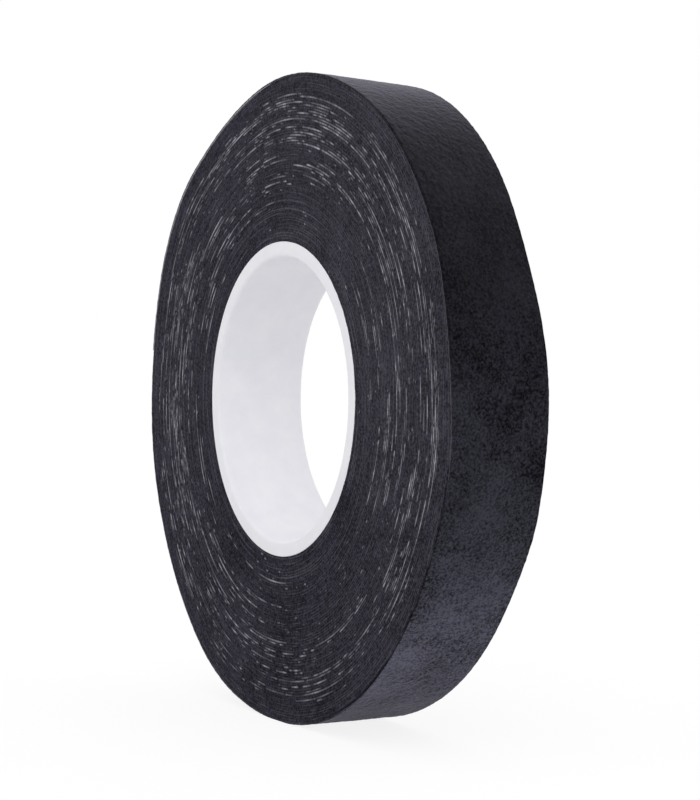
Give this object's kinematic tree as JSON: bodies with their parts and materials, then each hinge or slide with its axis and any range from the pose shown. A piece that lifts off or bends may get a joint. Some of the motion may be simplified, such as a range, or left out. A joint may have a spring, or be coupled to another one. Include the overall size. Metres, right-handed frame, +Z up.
{
  "type": "grip tape roll",
  "caption": "Roll of dark self-stick grip tape for racket handles, wound on a white moulded core, with a free end that peels back.",
  "frame": {"origin": "centre of the core's bore, halfway across the roll's width", "axes": "+Y along the roll's axis, +Z up, with the roll standing on its tread; the free end lies on the -X side"},
  "size_m": [0.1729, 0.027, 0.1732],
  "materials": {
    "core": "satin",
    "web": "matte",
    "film": "satin"
  },
  "bodies": {
    "roll": {"core": "core", "wound_web": "web", "wound_film": "film"},
    "tail_1": {"tail_web_1": "web", "tail_film_1": "film"},
    "tail_2": {"tail_web_2": "web", "tail_film_2": "film"},
    "tail_3": {"tail_web_3": "web", "tail_film_3": "film"},
    "tail_4": {"tail_web_4": "web", "tail_film_4": "film"},
    "tail_5": {"tail_web_5": "web", "tail_film_5": "film"},
    "tail_6": {"tail_web_6": "web", "tail_film_6": "film"},
    "tail_7": {"tail_web_7": "web", "tail_film_7": "film"},
    "tail_8": {"tail_web_8": "web", "tail_film_8": "film"}
  },
  "joints": [
    {"name": "tail_peel", "type": "hinge", "parent": "roll", "child": "tail_1", "pos_m": [-0.0121, 0, 0.08609], "axis": [0, 1, 0], "range_deg": [0, 18]},
    {"name": "tail_curl_2", "type": "hinge", "parent": "tail_1", "child": "tail_2", "pos_m": [-0.02542, 0, 0.08314], "axis": [0, 1, 0], "range_deg": [0, 18]},
    {"name": "tail_curl_3", "type": "hinge", "parent": "tail_2", "child": "tail_3", "pos_m": [-0.03811, 0, 0.07814], "axis": [0, 1, 0], "range_deg": [0, 18]},
    {"name": "tail_curl_4", "type": "hinge", "parent": "tail_3", "child": "tail_4", "pos_m": [-0.04987, 0, 0.07122], "axis": [0, 1, 0], "range_deg": [0, 18]},
    {"name": "tail_curl_5", "type": "hinge", "parent": "tail_4", "child": "tail_5", "pos_m": [-0.06039, 0, 0.06254], "axis": [0, 1, 0], "range_deg": [0, 18]},
    {"name": "tail_curl_6", "type": "hinge", "parent": "tail_5", "child": "tail_6", "pos_m": [-0.06943, 0, 0.05232], "axis": [0, 1, 0], "range_deg": [0, 18]},
    {"name": "tail_curl_7", "type": "hinge", "parent": "tail_6", "child": "tail_7", "pos_m": [-0.07676, 0, 0.04082], "axis": [0, 1, 0], "range_deg": [0, 18]},
    {"name": "tail_curl_8", "type": "hinge", "parent": "tail_7", "child": "tail_8", "pos_m": [-0.0822, 0, 0.0283], "axis": [0, 1, 0], "range_deg": [0, 18]}
  ],
  "couplings": [
    {"joint": "tail_curl_2", "follows": "tail_peel", "ratio": 1},
    {"joint": "tail_curl_3", "follows": "tail_peel", "ratio": 1},
    {"joint": "tail_curl_4", "follows": "tail_peel", "ratio": 1},
    {"joint": "tail_curl_5", "follows": "tail_peel", "ratio": 1},
    {"joint": "tail_curl_6", "follows": "tail_peel", "ratio": 1},
    {"joint": "tail_curl_7", "follows": "tail_peel", "ratio": 1},
    {"joint": "tail_curl_8", "follows": "tail_peel", "ratio": 1}
  ]
}
